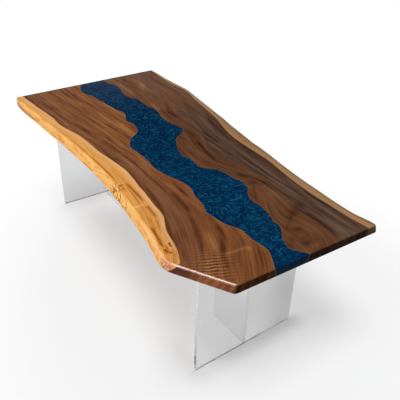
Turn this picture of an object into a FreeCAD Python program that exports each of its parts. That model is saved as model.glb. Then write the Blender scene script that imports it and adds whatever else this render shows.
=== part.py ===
import FreeCAD, Part
import math
import os

os.makedirs("parts", exist_ok=True)

# River dining table. Two live-edge slabs are joined by a cast resin river and stand on two clear T bases.
# +Z is up, +X runs along the table to the end with the sloping corner cut, and -Y is the golden live edge.
# The origin is on the floor under the middle of the top. All sizes are in millimetres.

# Overall sizes
table_length = 2400.0
table_width = 1154.0
table_height = 760.0
top_thickness = 50.0

# Edges of the top
top_edge_radius = 9.0
under_edge_radius = 4.0
end_corner_radius = 16.0
cut_corner_radius = 120.0
shore_lean = 12.0

# Clear bases
panel_thickness = 20.0
panel_arris = 1.0
cross_panel_width = 670.0
stem_panel_length = 268.0
near_base_overhang = 249.0
near_base_offset = -89.0
near_base_skew = 36.3
far_base_overhang = 327.0
far_base_offset = -84.0

# Strips under the bases
strip_thickness = 2.0
strip_inset = 1.0

# Angle brackets under the top
bracket_leg = 45.0
bracket_plate = 5.0
bracket_length = 70.0
bracket_bend_radius = 4.0
bracket_hole_spacing = 40.0
bracket_hole_from_corner = 22.0
cross_bracket_offset = 262.0
stem_bracket_offset = 225.0

# Bolts through the clear panels and screws into the top
bolt_diameter = 8.0
bolt_hole_clearance = 0.5
bolt_head_diameter = 14.0
bolt_head_height = 4.4
bolt_socket_diameter = 5.0
bolt_socket_depth = 2.6
nut_diameter = 14.0
nut_height = 6.5
nut_sides = 6
washer_diameter = 18.0
washer_thickness = 1.6
bolt_end_beyond_nut = 2.0
screw_length = 22.0
insert_diameter = 12.0
insert_length = 25.0
insert_cap_thickness = 3.0

# One overrun serves every cut that passes right through a piece
cut_overrun = 20.0

# Live edges, as shares of half the length and half the width: along, out at the underside, out at the top
front_edge_shares = [
    (-1.000, -0.984, -0.988),
    (-0.930, -1.000, -0.984),
    (-0.850, -0.993, -0.968),
    (-0.730, -0.968, -0.939),
    (-0.570, -0.940, -0.910),
    (-0.410, -0.906, -0.874),
    (-0.250, -0.885, -0.848),
    (-0.100, -0.864, -0.824),
    (0.050, -0.858, -0.815),
    (0.170, -0.866, -0.822),
    (0.325, -0.890, -0.850),
    (0.483, -0.918, -0.884),
    (0.590, -0.944, -0.912),
    (0.650, -0.969, -0.938),
    (0.700, -0.984, -0.960),
    (0.758, -0.984, -0.964),
]
corner_cut_end_shares = (1.000, -0.668, -0.648)
back_edge_shares = [
    (1.000, 0.872, 0.848),
    (0.958, 0.862, 0.837),
    (0.900, 0.831, 0.804),
    (0.800, 0.816, 0.789),
    (0.640, 0.812, 0.785),
    (0.480, 0.818, 0.791),
    (0.270, 0.852, 0.824),
    (0.060, 0.876, 0.847),
    (-0.150, 0.920, 0.892),
    (-0.360, 0.961, 0.932),
    (-0.520, 0.991, 0.962),
    (-0.600, 1.000, 0.970),
    (-0.730, 0.972, 0.943),
    (-0.840, 0.949, 0.921),
    (-0.940, 0.943, 0.914),
    (-1.000, 0.932, 0.903),
]

# Shores of the river at the top face, as shares of half the length and half the width
front_shore_shares = [
    (-1.030, -0.085),
    (-1.000, -0.122),
    (-0.960, -0.178),
    (-0.910, -0.215),
    (-0.870, -0.222),
    (-0.840, -0.207),
    (-0.805, -0.168),
    (-0.765, -0.150),
    (-0.720, -0.144),
    (-0.670, -0.122),
    (-0.614, -0.104),
    (-0.551, -0.078),
    (-0.509, -0.042),
    (-0.475, -0.047),
    (-0.403, -0.111),
    (-0.340, -0.080),
    (-0.297, -0.095),
    (-0.256, -0.122),
    (-0.234, -0.163),
    (-0.213, -0.228),
    (-0.182, -0.289),
    (-0.107, -0.360),
    (-0.064, -0.348),
    (0.062, -0.339),
    (0.124, -0.350),
    (0.187, -0.330),
    (0.251, -0.287),
    (0.293, -0.256),
    (0.377, -0.242),
    (0.420, -0.271),
    (0.504, -0.290),
    (0.557, -0.325),
    (0.610, -0.311),
    (0.673, -0.282),
    (0.737, -0.216),
    (0.800, -0.217),
    (0.906, -0.198),
    (0.947, -0.235),
    (1.000, -0.294),
    (1.030, -0.325),
]
back_shore_shares = [
    (-1.030, 0.150),
    (-1.000, 0.158),
    (-0.930, 0.177),
    (-0.900, 0.214),
    (-0.847, 0.235),
    (-0.804, 0.233),
    (-0.752, 0.202),
    (-0.699, 0.200),
    (-0.667, 0.228),
    (-0.636, 0.271),
    (-0.572, 0.282),
    (-0.498, 0.290),
    (-0.467, 0.314),
    (-0.424, 0.315),
    (-0.319, 0.280),
    (-0.256, 0.299),
    (-0.200, 0.327),
    (-0.160, 0.334),
    (-0.128, 0.302),
    (-0.092, 0.178),
    (-0.050, 0.116),
    (0.019, 0.056),
    (0.050, 0.030),
    (0.103, 0.030),
    (0.146, 0.057),
    (0.187, 0.047),
    (0.230, 0.050),
    (0.251, 0.090),
    (0.282, 0.158),
    (0.336, 0.203),
    (0.377, 0.209),
    (0.431, 0.245),
    (0.467, 0.247),
    (0.494, 0.226),
    (0.536, 0.165),
    (0.589, 0.132),
    (0.631, 0.146),
    (0.716, 0.125),
    (0.757, 0.101),
    (0.800, 0.097),
    (0.832, 0.059),
    (0.863, 0.014),
    (0.906, -0.019),
    (0.932, -0.030),
    (0.958, 0.002),
    (1.000, 0.068),
    (1.030, 0.110),
]

half_length = table_length / 2
half_width = table_width / 2
half_turn = 180
underside_height = table_height - top_thickness
upward = FreeCAD.Vector(0, 0, 1)
outward = FreeCAD.Vector(1, 0, 0)
sideways = FreeCAD.Vector(0, 1, 0)


def place_on_top(along_share, across_share, height):
    return FreeCAD.Vector(along_share * half_length, across_share * half_width, height)


def smooth_edge(points):
    curve = Part.BSplineCurve()
    curve.interpolate(Points=points)
    return curve.toShape()


# The outline at one height. Side 1 of each row of shares is the underside, and side 2 is the top.
def outline(side, height):
    cut_end = place_on_top(corner_cut_end_shares[0], corner_cut_end_shares[side], height)
    front_points = [place_on_top(row[0], row[side], height) for row in front_edge_shares]
    back_points = [place_on_top(row[0], row[side], height) for row in back_edge_shares]
    front = smooth_edge(front_points)
    corner_cut = Part.makeLine(front_points[-1], cut_end)
    near_end = Part.makeLine(cut_end, back_points[0])
    back = smooth_edge(back_points)
    far_end = Part.makeLine(back_points[-1], front_points[0])
    return Part.Wire([front, corner_cut, near_end, back, far_end])


def rises(edge):
    return abs(edge.Vertexes[0].Z - edge.Vertexes[-1].Z) > top_thickness / 2


def is_end_corner(edge):
    return rises(edge) and abs(edge.CenterOfMass.x) > half_length - top_edge_radius


# The corner where the front live edge meets the sloping cut
def is_cut_corner(edge):
    return rises(edge) and abs(edge.CenterOfMass.x) < half_length - top_edge_radius


def lies_at(edge, height):
    return all(abs(vertex.Z - height) < under_edge_radius / 2 for vertex in edge.Vertexes)


# The whole top before it is divided: a ruled loft between the two outlines with all its edges eased
def make_top():
    blank = Part.makeLoft([outline(1, underside_height), outline(2, table_height)], True, True)
    blank = blank.makeFillet(cut_corner_radius, [e for e in blank.Edges if is_cut_corner(e)])
    blank = blank.makeFillet(end_corner_radius, [e for e in blank.Edges if is_end_corner(e)])
    blank = blank.makeFillet(top_edge_radius, [e for e in blank.Edges if lies_at(e, table_height)])
    return blank.makeFillet(under_edge_radius, [e for e in blank.Edges if lies_at(e, underside_height)])


# The river's outline. Each shore leans towards the river going down, as the slabs' own live edges do.
def river_outline(height):
    lean = shore_lean * (table_height - height) / top_thickness
    inward = FreeCAD.Vector(0, lean, 0)
    front_points = [place_on_top(*share, height) + inward for share in front_shore_shares]
    back_points = [place_on_top(*share, height) - inward for share in reversed(back_shore_shares)]
    front = smooth_edge(front_points)
    near_end = Part.makeLine(front_points[-1], back_points[0])
    back = smooth_edge(back_points)
    far_end = Part.makeLine(back_points[-1], front_points[0])
    return Part.Wire([front, near_end, back, far_end])


def make_river_blank():
    low = underside_height - cut_overrun
    high = table_height + cut_overrun
    return Part.makeLoft([river_outline(low), river_outline(high)], True, True)


def box(low, high):
    return Part.makeBox(high.x - low.x, high.y - low.y, high.z - low.z, low)


def round_bar(diameter, length, start, direction):
    return Part.makeCylinder(diameter / 2, length, start, direction)


# A flat panel with a small bevel on every edge that can be touched
def clear_panel(low, high, bonded=None):
    panel = box(low, high)
    edges = [e for e in panel.Edges if bonded is None or not bonded(e)]
    return panel.makeChamfer(panel_arris, edges)


# Each base is built standing outward along +X, with the cross panel's outer face at x = 0
def cross_panel():
    low = FreeCAD.Vector(-panel_thickness, -cross_panel_width / 2, strip_thickness)
    high = FreeCAD.Vector(0, cross_panel_width / 2, underside_height)
    return clear_panel(low, high)


def stem_panel():
    low = FreeCAD.Vector(-panel_thickness - stem_panel_length, -panel_thickness / 2, strip_thickness)
    high = FreeCAD.Vector(-panel_thickness, panel_thickness / 2, underside_height)
    return clear_panel(low, high, lambda e: abs(e.CenterOfMass.x - high.x) < panel_arris)


def cross_strip():
    low = FreeCAD.Vector(strip_inset - panel_thickness, strip_inset - cross_panel_width / 2, 0)
    high = FreeCAD.Vector(-strip_inset, cross_panel_width / 2 - strip_inset, strip_thickness)
    return box(low, high)


def stem_strip():
    low = FreeCAD.Vector(strip_inset - panel_thickness - stem_panel_length, 0, 0)
    low.y = strip_inset - panel_thickness / 2
    high = FreeCAD.Vector(-panel_thickness, panel_thickness / 2 - strip_inset, strip_thickness)
    return box(low, high)


# A bracket is an angle whose corner is at a point under the top. Its upright leg lies on a panel, and
# its flat leg reaches away from the panel along "away" and lies on the underside.
class Bracket:
    def __init__(self, corner, away):
        self.corner = corner
        self.away = away
        self.along = upward.cross(away)

    def spot(self, out, shift, down):
        return self.corner + self.away * out + self.along * shift - upward * down

    def shifts(self):
        return [-bracket_hole_spacing / 2, bracket_hole_spacing / 2]

    # Centres of the bolt holes on the panel's face
    def bolt_spots(self):
        return [self.spot(0, shift, bracket_hole_from_corner) for shift in self.shifts()]

    # Centres of the screw holes on the underside of the top
    def screw_spots(self):
        return [self.spot(bracket_hole_from_corner, shift, 0) for shift in self.shifts()]

    def solid(self):
        end = -bracket_length / 2
        profile = [(0, 0), (bracket_leg, 0), (bracket_leg, bracket_plate), (bracket_plate, bracket_plate)]
        profile += [(bracket_plate, bracket_leg), (0, bracket_leg), (0, 0)]
        wire = Part.makePolygon([self.spot(out, end, down) for out, down in profile])
        angle = Part.Face(wire).extrude(self.along * bracket_length)
        inner = self.spot(bracket_plate, 0, bracket_plate)
        inside = [e for e in angle.Edges if e.CenterOfMass.distanceToPoint(inner) < bracket_plate / 2]
        angle = angle.makeFillet(bracket_bend_radius, inside)
        hole = bolt_diameter + bolt_hole_clearance
        for spot in self.bolt_spots():
            angle = angle.cut(round_bar(hole, bracket_plate + cut_overrun, spot, self.away))
        for spot in self.screw_spots():
            angle = angle.cut(round_bar(hole, bracket_plate + cut_overrun, spot, -upward))
        return angle


def ring(outer, inner, thickness, start, direction):
    washer = round_bar(outer, thickness, start, direction)
    return washer.cut(round_bar(inner, thickness, start, direction))


def hexagon_nut(start, direction):
    across = sideways if abs(direction.x) > abs(direction.y) else outward
    turn = direction.cross(across)
    radius = nut_diameter / 2
    corners = []
    for side in range(nut_sides):
        angle = 2 * math.pi * side / nut_sides
        corners.append(start + across * (radius * math.cos(angle)) + turn * (radius * math.sin(angle)))
    nut = Part.Face(Part.makePolygon(corners + corners[:1])).extrude(direction * nut_height)
    return nut.cut(round_bar(bolt_diameter, nut_height, start, direction))


# A button head with a socket, seated at start, and a round shank that runs on along direction
def button_bolt(start, direction, shank_length):
    head = round_bar(bolt_head_diameter, bolt_head_height, start, -direction)
    rim = [e for e in head.Edges if e.CenterOfMass.distanceToPoint(start) > bolt_head_height / 2 and e.Closed]
    head = head.makeFillet(bolt_head_height / 2, rim)
    socket_start = start - direction * bolt_head_height
    head = head.cut(round_bar(bolt_socket_diameter, bolt_socket_depth, socket_start, direction))
    return head.fuse(round_bar(bolt_diameter, shank_length, start, direction)).removeSplitter()


# Everything that fastens one base: where each bolt and screw goes, and the pieces that go there
class Fastening:
    def __init__(self):
        self.bolts = []
        self.nuts = []
        self.washers = []
        self.screws = []
        self.inserts = []
        self.panel_holes = []

    # A bolt from start through layers of the given total thickness, with a washer under head and nut
    def bolt_through(self, start, direction, grip):
        hole = bolt_diameter + bolt_hole_clearance
        head_seat = start - direction * washer_thickness
        nut_washer = start + direction * grip
        nut_seat = nut_washer + direction * washer_thickness
        shank = grip + washer_thickness * 2 + nut_height + bolt_end_beyond_nut
        self.bolts.append(button_bolt(head_seat, direction, shank))
        self.washers.append(ring(washer_diameter, hole, washer_thickness, head_seat, direction))
        self.washers.append(ring(washer_diameter, hole, washer_thickness, nut_washer, direction))
        self.nuts.append(hexagon_nut(nut_seat, direction))
        self.panel_holes.append(round_bar(hole, grip, start, direction))

    # A screw up through a bracket's flat leg into a threaded insert in the top
    def screw_up(self, spot):
        hole = bolt_diameter + bolt_hole_clearance
        washer_seat = spot - upward * bracket_plate
        head_seat = washer_seat - upward * washer_thickness
        self.screws.append(button_bolt(head_seat, upward, screw_length))
        self.washers.append(ring(washer_diameter, hole, washer_thickness, washer_seat, -upward))
        self.inserts.append(threaded_insert(spot))


# An insert is a sleeve with a closed end, flush with the underside and open downwards
def threaded_insert(spot):
    sleeve = round_bar(insert_diameter, insert_length, spot, upward)
    return sleeve.cut(round_bar(bolt_diameter, insert_length - insert_cap_thickness, spot, upward))


def insert_hole(spot):
    return round_bar(insert_diameter, insert_length, spot, upward)


# Brackets of one base: one each side on the cross panel, and a pair back to back on the stem
def base_brackets():
    inner_face = -panel_thickness
    stem_face = panel_thickness / 2
    stem_middle = -stem_bracket_offset
    return {
        "cross_bracket_front": Bracket(
            FreeCAD.Vector(inner_face, -cross_bracket_offset, underside_height), -outward
        ),
        "cross_bracket_back": Bracket(
            FreeCAD.Vector(inner_face, cross_bracket_offset, underside_height), -outward
        ),
        "stem_bracket_front": Bracket(
            FreeCAD.Vector(stem_middle, -stem_face, underside_height), -sideways
        ),
        "stem_bracket_back": Bracket(
            FreeCAD.Vector(stem_middle, stem_face, underside_height), sideways
        ),
    }


def fasten(brackets):
    fastening = Fastening()
    for name in ("cross_bracket_front", "cross_bracket_back"):
        for spot in brackets[name].bolt_spots():
            outer_spot = spot + outward * panel_thickness
            fastening.bolt_through(outer_spot, -outward, panel_thickness + bracket_plate)
    for spot in brackets["stem_bracket_front"].bolt_spots():
        outer_spot = spot - sideways * bracket_plate
        fastening.bolt_through(outer_spot, sideways, panel_thickness + bracket_plate * 2)
    for bracket in brackets.values():
        for spot in bracket.screw_spots():
            fastening.screw_up(spot)
    return fastening


def cut_all(solid, tools):
    for tool in tools:
        solid = solid.cut(tool)
    return solid


# One base as nodes, still standing at its own origin. For the far base the two sides swap names,
# because half a turn puts its own -Y side at the back of the table.
def base_nodes(swap_sides):
    brackets = base_brackets()
    fastening = fasten(brackets)
    nodes = {
        "cross_panel": cut_all(cross_panel(), fastening.panel_holes),
        "stem_panel": cut_all(stem_panel(), fastening.panel_holes),
        "cross_foot_strip": cross_strip(),
        "stem_foot_strip": stem_strip(),
        "panel_bolts": Part.makeCompound(fastening.bolts),
        "panel_nuts": Part.makeCompound(fastening.nuts),
        "washers": Part.makeCompound(fastening.washers),
        "top_screws": Part.makeCompound(fastening.screws),
        "threaded_inserts": Part.makeCompound(fastening.inserts),
    }
    for name, bracket in brackets.items():
        if swap_sides:
            name = name.replace("front", "other").replace("back", "front").replace("other", "back")
        nodes[name] = bracket.solid()
    holes = [insert_hole(spot) for bracket in brackets.values() for spot in bracket.screw_spots()]
    return nodes, holes


def stand(shape, place, turn):
    placed = shape.copy()
    placed.rotate(FreeCAD.Vector(0, 0, 0), upward, turn)
    placed.translate(place)
    return placed


# Each base stands its overhang in from its end of the top. The near base is a little out of square: the
# front end of its cross panel stands further out than the back end by the skew.
def make_table():
    nodes = {}
    insert_holes = []
    near_place = FreeCAD.Vector(half_length - near_base_overhang, near_base_offset, 0)
    far_place = FreeCAD.Vector(far_base_overhang - half_length, far_base_offset, 0)
    near_turn = math.degrees(math.atan2(near_base_skew, cross_panel_width))
    bases = {
        "near": (near_place, near_turn, False),
        "far": (far_place, half_turn, True),
    }
    for end, (place, turn, swap_sides) in bases.items():
        parts, holes = base_nodes(swap_sides)
        for name, shape in parts.items():
            nodes[end + "_" + name] = stand(shape, place, turn)
        insert_holes += [stand(hole, place, turn) for hole in holes]
    top = make_top()
    river_blank = make_river_blank()
    river = top.common(river_blank)
    slabs = sorted(top.cut(river_blank).Solids, key=lambda solid: solid.CenterOfMass.y)
    nodes["live_edge_slab_front"] = cut_all(slabs[0], insert_holes)
    nodes["live_edge_slab_back"] = cut_all(slabs[-1], insert_holes)
    nodes["epoxy_river"] = cut_all(river, insert_holes)
    return nodes


for name, shape in make_table().items():
    solids = shape.Solids
    print(name, len(solids), "solids, valid", shape.isValid(), "volume", round(shape.Volume))
    kept = solids[0] if len(solids) == 1 else Part.makeCompound(solids)
    kept.exportStep(os.path.join("parts", name + ".step"))
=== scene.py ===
import math

import bmesh
import bpy
import numpy as np
from mathutils import Matrix, Vector


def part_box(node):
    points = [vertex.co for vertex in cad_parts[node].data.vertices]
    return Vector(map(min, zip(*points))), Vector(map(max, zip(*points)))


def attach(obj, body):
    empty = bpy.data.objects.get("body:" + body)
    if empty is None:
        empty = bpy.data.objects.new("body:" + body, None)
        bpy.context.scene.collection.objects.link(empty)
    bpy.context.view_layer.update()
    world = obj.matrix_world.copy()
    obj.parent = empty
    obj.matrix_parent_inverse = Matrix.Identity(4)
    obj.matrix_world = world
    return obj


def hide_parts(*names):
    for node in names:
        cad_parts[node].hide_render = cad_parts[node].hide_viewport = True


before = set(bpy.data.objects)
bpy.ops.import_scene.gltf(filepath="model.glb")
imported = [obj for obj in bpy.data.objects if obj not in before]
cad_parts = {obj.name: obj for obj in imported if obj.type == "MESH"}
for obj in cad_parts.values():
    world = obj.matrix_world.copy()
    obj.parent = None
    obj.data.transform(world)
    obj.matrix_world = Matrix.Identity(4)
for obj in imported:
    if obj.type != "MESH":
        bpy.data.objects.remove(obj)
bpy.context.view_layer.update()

# A river dining table in metres. +Z is up, +X runs to the end with the sloping corner cut, and -Y is the
# golden live edge. The origin is on the floor under the middle of the top.
frontLow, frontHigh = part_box("live_edge_slab_front")
print("frame loaded with", len(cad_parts), "nodes")


class Wire:
    # One output of a node. Arithmetic on wires adds Math nodes.
    def __init__(self, finish, socket):
        self.finish = finish
        self.socket = socket

    # Another output of the same node
    def output(self, name):
        return Wire(self.finish, self.socket.node.outputs[name])

    def calc(self, operation, *others):
        values = dict(enumerate((self,) + others))
        return self.finish.node("ShaderNodeMath", {"operation": operation}, values)

    def __add__(self, other):
        return self.calc("ADD", other)

    __radd__ = __add__

    def __sub__(self, other):
        return self.calc("SUBTRACT", other)

    def __rsub__(self, other):
        return self.finish.node("ShaderNodeMath", {"operation": "SUBTRACT"}, {0: other, 1: self})

    def __mul__(self, other):
        return self.calc("MULTIPLY", other)

    __rmul__ = __mul__

    def __truediv__(self, other):
        return self.calc("DIVIDE", other)

    def __pow__(self, other):
        return self.calc("POWER", other)

    # 0 below low, 1 above high, and a smooth step between them
    def step(self, low, high):
        values = {"Value": self, "From Min": low, "From Max": high}
        return self.finish.node("ShaderNodeMapRange", {"interpolation_type": "SMOOTHSTEP"}, values)

    def bounded(self):
        return self.finish.node("ShaderNodeClamp", {}, {"Value": self})


class Finish:
    # The nodes of a material or a world. node() takes a type, its settings, which are set first, and its
    # inputs. A colour is three linear numbers.
    def __init__(self, owner):
        self.owner = owner
        owner.use_nodes = True
        self.tree = owner.node_tree
        self.tree.nodes.clear()

    def node(self, kind, settings, inputs, output=0):
        made = self.tree.nodes.new(kind)
        for key, value in settings.items():
            setattr(made, key, value)
        for key, value in inputs.items():
            socket = made.inputs[key]
            if isinstance(value, Wire):
                self.tree.links.new(value.socket, socket)
            else:
                socket.default_value = (*value, 1) if socket.type == "RGBA" else value
        return Wire(self, made.outputs[output]) if made.outputs else None

    def objectPlace(self):
        return self.node("ShaderNodeTexCoord", {}, {}, "Object")

    def field(self, name, output="Fac"):
        return self.node("ShaderNodeAttribute", {"attribute_name": name}, {}, output)

    def parts(self, vector):
        split = self.node("ShaderNodeSeparateXYZ", {}, {0: vector})
        return [split.output(name) for name in "XYZ"]

    def joined(self, x, y, z):
        return self.node("ShaderNodeCombineXYZ", {}, {0: x, 1: y, 2: z})

    def noise(self, scale, detail, roughness=0.5, place=None):
        values = {"Scale": scale, "Detail": detail, "Roughness": roughness}
        return self.node("ShaderNodeTexNoise", {}, {"Vector": place or self.objectPlace(), **values})

    # The middles of a layer of cells, or the distance to their edges
    def cells(self, place, settings, output):
        return self.node("ShaderNodeTexVoronoi", settings, {"Vector": place, "Scale": 1.0}, output)

    # Each stop is its place and its colour, in thousandths
    def ramp(self, value, stops):
        made = self.node("ShaderNodeValToRGB", {}, {0: value})
        elements = made.socket.node.color_ramp.elements
        while len(elements) < len(stops):
            elements.new(0.5)
        for element, (place, *colour) in zip(elements, stops):
            element.position = place / 1000
            element.color = [part / 1000 for part in colour] + [1]
        return made

    def mix(self, below, above, factor):
        return self.node("ShaderNodeMix", {"data_type": "RGBA"}, {0: factor, 6: below, 7: above}, 2)

    def mixShader(self, below, above, factor):
        return self.node("ShaderNodeMixShader", {}, {0: factor, 1: below, 2: above})

    def bump(self, height, distance, strength):
        return self.node("ShaderNodeBump", {}, {"Height": height, "Distance": distance, "Strength": strength})

    def surface(self, **sockets):
        values = {name.replace("_", " "): value for name, value in sockets.items()}
        return self.node("ShaderNodeBsdfPrincipled", {}, values)

    def done(self, shader, kind="ShaderNodeOutputMaterial"):
        self.node(kind, {}, {"Surface": shader})
        return self.owner


# The largest of several wires
def largest(wires):
    total = wires[0]
    for wire in wires[1:]:
        total = total.calc("MAXIMUM", wire)
    return total


def addObject(name, data):
    made = bpy.data.objects.new(name, data)
    bpy.context.scene.collection.objects.link(made)
    return made


# Camera of the photograph: its place, where it looks and its roll in degrees, and its lens on a square
# sensor, both in millimetres
view = {
    "place": (2.6323, -1.5471, 2.4280),
    "azimuth": 56.1422,
    "elevation": 33.7521,
    "roll": 1.8125,
    "lens": 51.354,
    "sensor": 36,
    "farthest": 100,
}


def addCamera():
    azimuth, elevation, roll = [math.radians(view[key]) for key in ("azimuth", "elevation", "roll")]
    back = Vector((math.sin(azimuth) * math.cos(elevation), -math.cos(azimuth) * math.cos(elevation), 0))
    back.z = math.sin(elevation)
    right = Matrix.Rotation(roll, 4, back) @ Vector((math.cos(azimuth), math.sin(azimuth), 0))
    up = back.cross(right)
    lens = bpy.data.cameras.new("camera")
    lens.lens = view["lens"]
    lens.sensor_width = view["sensor"]
    lens.clip_end = view["farthest"]
    camera = addObject("camera", lens)
    camera.matrix_world = Matrix.Translation(view["place"]) @ Matrix((right, up, back)).transposed().to_4x4()
    bpy.context.scene.camera = camera


addCamera()
print("camera set")


# The top's outline and levels, in metres and degrees, and how many points its lines have. The shares are of
# half the length and half the width.
top = {
    "halfLength": frontHigh.x,
    "halfWidth": 0.577,
    "upper": frontHigh.z,
    "under": frontLow.z,
    "upperRadius": 0.009,
    "underRadius": 0.004,
    "endCornerRadius": 0.016,
    "cutEndRadius": 0.030,
    "cutCornerRadius": 0.120,
    "shoreLean": 0.012,
    "radiusWander": 0.0035,
    "probe": 0.02,
    "upperAngles": (0, 14, 32, 52, 72, 90),
    "underAngles": (90, 60, 30, 0),
    "cornerPoints": 10,
    "bendPoints": 16,
    "cutPoints": 52,
    "edgePoints": 342,
    "wallPoints": 10,
    "topPoints": 64,
    "riverPoints": (420, 30),
    "weld": 1e-6,
    "sharpAngle": 40,
}


# Listed rows, divided by a unit, or by one for each column
def fromRows(units, rows):
    return np.array(rows, float) / units


# Live edges, in thousandths: along, out at the underside, out at the top
frontEdgeShares = fromRows(1000, [
    (-1000, -984, -988), (-930, -1000, -984), (-850, -993, -968), (-730, -968, -939), (-570, -940, -910),
    (-410, -906, -874), (-250, -885, -848), (-100, -864, -824), (50, -858, -815), (170, -866, -822),
    (325, -890, -850), (483, -918, -884), (590, -944, -912), (650, -969, -938), (700, -984, -960),
    (758, -984, -964),
])
cutEndShares = (1.000, -0.668, -0.648)
backEdgeShares = fromRows(1000, [
    (-1000, 932, 903), (-940, 943, 914), (-840, 949, 921), (-730, 972, 943), (-600, 1000, 970),
    (-520, 991, 962), (-360, 961, 932), (-150, 920, 892), (60, 876, 847), (270, 852, 824), (480, 818, 791),
    (640, 812, 785), (800, 816, 789), (900, 831, 804), (958, 862, 837), (1000, 872, 848),
])

# Shores of the river at the top face, in thousandths
frontShoreShares = fromRows(1000, [
    (-1030, -85), (-1000, -122), (-960, -178), (-910, -215), (-870, -222), (-840, -207), (-805, -168),
    (-765, -150), (-720, -144), (-670, -122), (-614, -104), (-551, -78), (-509, -42), (-475, -47),
    (-403, -111), (-340, -80), (-297, -95), (-256, -122), (-234, -163), (-213, -228), (-182, -289),
    (-107, -360), (-64, -348), (62, -339), (124, -350), (187, -330), (251, -287), (293, -256), (377, -242),
    (420, -271), (504, -290), (557, -325), (610, -311), (673, -282), (737, -216), (800, -217), (906, -198),
    (947, -235), (1000, -294), (1030, -325),
])
backShoreShares = fromRows(1000, [
    (-1030, 150), (-1000, 158), (-930, 177), (-900, 214), (-847, 235), (-804, 233), (-752, 202), (-699, 200),
    (-667, 228), (-636, 271), (-572, 282), (-498, 290), (-467, 314), (-424, 315), (-319, 280), (-256, 299),
    (-200, 327), (-160, 334), (-128, 302), (-92, 178), (-50, 116), (19, 56), (50, 30), (103, 30), (146, 57),
    (187, 47), (230, 50), (251, 90), (282, 158), (336, 203), (377, 209), (431, 245), (467, 247), (494, 226),
    (536, 165), (589, 132), (631, 146), (716, 125), (757, 101), (800, 97), (832, 59), (863, 14), (906, -19),
    (932, -30), (958, 2), (1000, 68), (1030, 110),
])


# A smooth line y(x) through given points: a cubic Hermite whose slope at each point is the mean of
# the slopes of the two spans beside it, each weighted by the other span's length
def smoothLine(points, x):
    px, py = np.array(points, float).T
    span = np.diff(px)
    slope = np.diff(py) / span
    inner = (slope[:-1] * span[1:] + slope[1:] * span[:-1]) / (span[1:] + span[:-1])
    tangent = np.concatenate([slope[:1], inner, slope[-1:]])
    i = np.clip(np.searchsorted(px, x, side="right") - 1, 0, len(span) - 1)
    t = np.clip((x - px[i]) / span[i], 0, 1)
    rise = (2 * t**3 - 3 * t**2 + 1) * py[i] + (3 * t**2 - 2 * t**3) * py[i + 1]
    lean = (t**3 - 2 * t**2 + t) * tangent[i] + (t**3 - t**2) * tangent[i + 1]
    return rise + lean * span[i]


# Smooth noise of two numbers, about -1 to 1: random heights on a square lattice, blended with smoothsteps
def softNoise(u, v, seed):
    count = 64
    table = np.random.default_rng(seed).uniform(-1, 1, (count, count))
    iu = np.floor(u).astype(int)
    iv = np.floor(v).astype(int)
    su = smoothStep(0, 1, u - iu)
    sv = smoothStep(0, 1, v - iv)
    i, j = iu % count, iv % count
    nextI, nextJ = (iu + 1) % count, (iv + 1) % count
    near = table[i, j] * (1 - su) + table[nextI, j] * su
    far = table[i, nextJ] * (1 - su) + table[nextI, nextJ] * su
    return near * (1 - sv) + far * sv


def smoothStep(low, high, value):
    t = np.clip((value - low) / (high - low), 0, 1)
    return t * t * (3 - 2 * t)


# 0 before the first place and after the last, 1 between the middle two, and smooth steps between
def window(first, full, last, gone, value):
    return smoothStep(first, full, value) * (1 - smoothStep(last, gone, value))


# Straight lines between given points of x and value, level past the ends, or one value everywhere
def profile(points, x):
    return np.interp(x, *np.array(points).T) if isinstance(points, list) else points + 0 * x


def scaled(shares, column):
    return [(row[0] * top["halfLength"], row[column] * top["halfWidth"]) for row in shares]


# The river's front (-1) or back (+1) shore at any x and height; it leans in as it goes down
def shoreAt(x, z, side):
    shares = frontShoreShares if side < 0 else backShoreShares
    lean = top["shoreLean"] * (top["upper"] - z) / (top["upper"] - top["under"])
    return smoothLine(scaled(shares, 1), x) - side * lean


# A round corner of a plan line: the radius turns from the first leg's normal to the second's at a steady
# rate
def roundCorner(before, corner, after, radius, count):
    before, corner, after = [np.array(point, float) for point in (before, corner, after)]
    first = (before - corner) / np.linalg.norm(before - corner)
    second = (after - corner) / np.linalg.norm(after - corner)
    half = math.acos(first @ second) / 2
    centre = corner + (first + second) / np.linalg.norm(first + second) * radius / math.sin(half)
    start = corner + first * radius / math.tan(half) - centre
    stop = corner + second * radius / math.tan(half) - centre
    sweep = math.pi - 2 * half
    t = np.linspace(0, 1, count)[:, None]
    return centre + (np.sin((1 - t) * sweep) * start + np.sin(t * sweep) * stop) / math.sin(sweep)


# A slab's outer line at the underside (1) or the top (2): round end corner, live edge, and round end
# corner, with the sloping cut before the last corner where there is one. Each stretch has a fixed count of
# points.
def outerLine(shares, cutEnd, column):
    points = scaled(shares, column)
    reach = top["halfLength"]
    probe = top["probe"]
    radius = top["endCornerRadius"]
    count = top["cornerPoints"]
    start = np.array(points[0])
    stop = np.array(points[-1])
    edgeStart = (start[0] + probe, smoothLine(points, start[0] + probe))
    edgeStop = (stop[0] - probe, smoothLine(points, stop[0] - probe))
    corner = roundCorner((start[0], 0), start, edgeStart, radius, count)
    if cutEnd is None:
        others = [roundCorner(edgeStop, stop, (reach, 0), radius, count)]
    else:
        end = np.array([cutEnd[0] * reach, cutEnd[column] * top["halfWidth"]])
        bend = roundCorner(edgeStop, stop, end, top["cutCornerRadius"], top["bendPoints"])
        lastCorner = roundCorner(stop, end, (reach, 0), top["cutEndRadius"], count)
        share = np.linspace(0, 1, top["cutPoints"])[1:-1, None]
        others = [bend, bend[-1] + (lastCorner[0] - bend[-1]) * share, lastCorner]
    x = np.linspace(corner[-1][0], others[0][0][0], top["edgePoints"])[1:-1]
    edge = np.stack([x, smoothLine(points, x)], 1)
    return np.concatenate([corner, edge] + others)


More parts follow.
